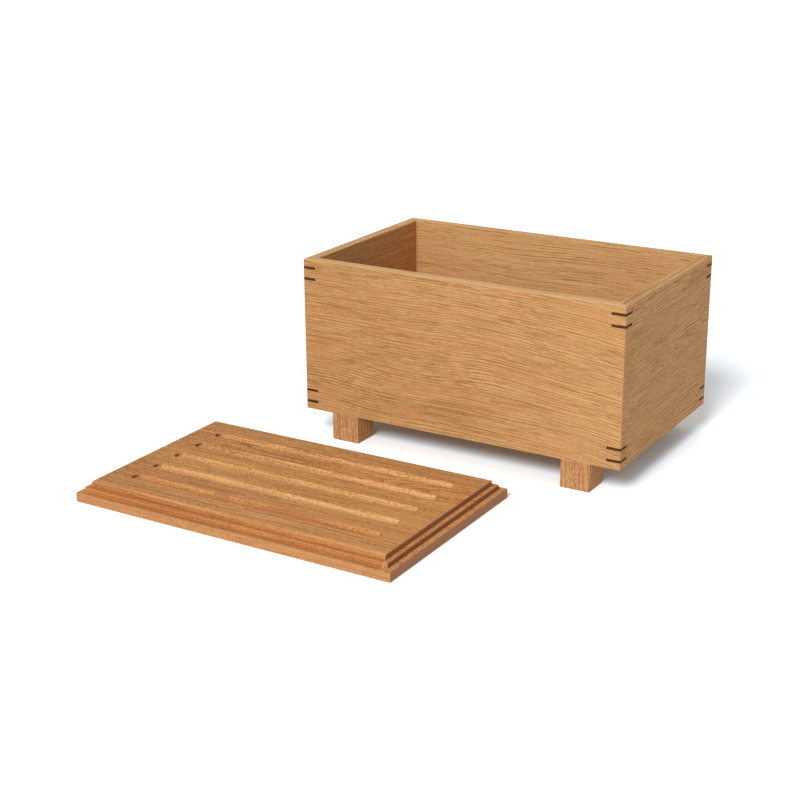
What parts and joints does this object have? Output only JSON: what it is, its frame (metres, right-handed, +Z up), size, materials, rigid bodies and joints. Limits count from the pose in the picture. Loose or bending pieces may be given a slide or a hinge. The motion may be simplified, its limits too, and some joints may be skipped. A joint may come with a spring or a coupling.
{
  "type": "wooden storage box with loose stepped lid",
  "caption": "Oak storage box with dark keyed mitre corners on block feet, with a loose stepped lid board, grooved on its underside, turned over in front of it.",
  "frame": {"origin": "on the floor, in the middle of the ground that the box and its lid cover together at rest", "axes": "+Z up; +X along the box from its left end to its right end; +Y from the lid, in front, towards the back of the box"},
  "size_m": [0.4724, 0.515, 0.203],
  "materials": {
    "box_oak": "oiled oak, planed, satin",
    "foot_oak": "oiled oak, planed, satin, grain upright",
    "lid_oak": "oiled oak, planed, satin, edge-glued staves",
    "dark_key": "smoked dark hardwood, flush planed",
    "dowel_beech": "raw beech"
  },
  "bodies": {
    "box": {"front_wall": "box_oak", "right_wall": "box_oak", "back_wall": "box_oak", "left_wall": "box_oak", "bottom_panel": "box_oak", "foot_front_left": "foot_oak", "foot_front_right": "foot_oak", "foot_back_right": "foot_oak", "foot_back_left": "foot_oak", "foot_dowels": "dowel_beech", "corner_key_front_left_1": "dark_key", "corner_key_front_left_2": "dark_key", "corner_key_front_left_3": "dark_key", "corner_key_front_left_4": "dark_key", "corner_key_front_right_1": "dark_key", "corner_key_front_right_2": "dark_key", "corner_key_front_right_3": "dark_key", "corner_key_front_right_4": "dark_key", "corner_key_back_right_1": "dark_key", "corner_key_back_right_2": "dark_key", "corner_key_back_right_3": "dark_key", "corner_key_back_right_4": "dark_key", "corner_key_back_left_1": "dark_key", "corner_key_back_left_2": "dark_key", "corner_key_back_left_3": "dark_key", "corner_key_back_left_4": "dark_key"},
    "lid": {"lid_stave_1": "lid_oak", "lid_stave_2": "lid_oak", "lid_stave_3": "lid_oak", "lid_stave_4": "lid_oak"}
  },
  "joints": [
    {"name": "lid_lift", "type": "slide", "parent": "box", "child": "lid", "axis": [0, 0, 1], "range_m": [0, 0.25]}
  ]
}
